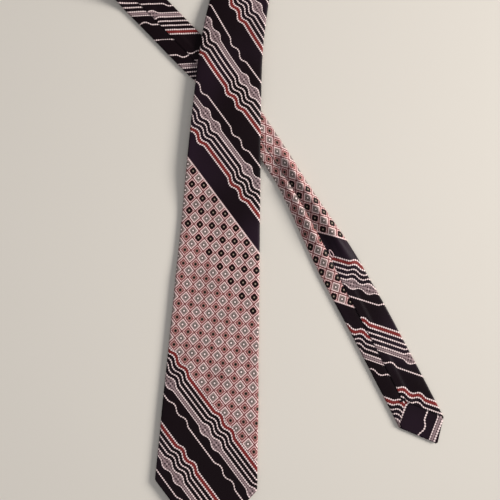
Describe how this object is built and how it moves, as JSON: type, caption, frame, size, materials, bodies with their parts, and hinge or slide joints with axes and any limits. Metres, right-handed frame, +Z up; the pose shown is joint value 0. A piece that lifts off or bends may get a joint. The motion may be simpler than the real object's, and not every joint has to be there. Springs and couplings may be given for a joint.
{
  "type": "necktie",
  "caption": "Wide pointed necktie laid flat: blade face up, neck band looped on its edge, narrow tail crossing face down under the blade.",
  "frame": {"origin": "middle of the laid-out tie's underside, on the table", "axes": "+Y from the blade's point towards the neck loop, +Z up from the table, the tail's point on the +X side"},
  "size_m": [0.3442, 0.6784, 0.0416],
  "materials": {
    "shell_cloth": "woven dark aubergine with maroon and white figured stripes",
    "tipping_cloth": "the shell's own cloth",
    "interlining_cloth": "brushed wool and viscose",
    "label_cloth": "blank woven ribbon",
    "thread": "dark sewing thread",
    "pale_thread": "pale sewing thread"
  },
  "bodies": {
    "neck": {"neck_shell": "shell_cloth", "neck_interlining": "interlining_cloth", "neck_slip_stitch": "thread", "tail_shell_upper": "shell_cloth", "tail_slip_stitch_upper": "thread"},
    "blade": {"blade_shell": "shell_cloth", "blade_interlining": "interlining_cloth", "blade_tipping": "tipping_cloth", "blade_slip_stitch": "thread", "blade_bar_tack": "thread", "keeper_loop": "shell_cloth", "keeper_tack_left": "thread", "keeper_tack_right": "thread", "maker_label": "label_cloth", "care_label": "label_cloth"},
    "tail": {"tail_shell": "shell_cloth", "tail_interlining": "interlining_cloth", "tail_tipping": "tipping_cloth", "tail_slip_stitch": "thread", "tail_bar_tack": "thread", "slack_thread_loop": "pale_thread"}
  },
  "joints": [
    {"name": "blade_lift", "type": "hinge", "parent": "neck", "child": "blade", "pos_m": [-0.03002, 0.21912, 0.00439], "axis": [-0.9826, 0.1857, 0], "range_deg": [0, 75]},
    {"name": "tail_lift", "type": "hinge", "parent": "neck", "child": "tail", "pos_m": [0.0109, 0.03762, 0.004], "axis": [-0.849, -0.5284, 0], "range_deg": [0, 75]}
  ]
}
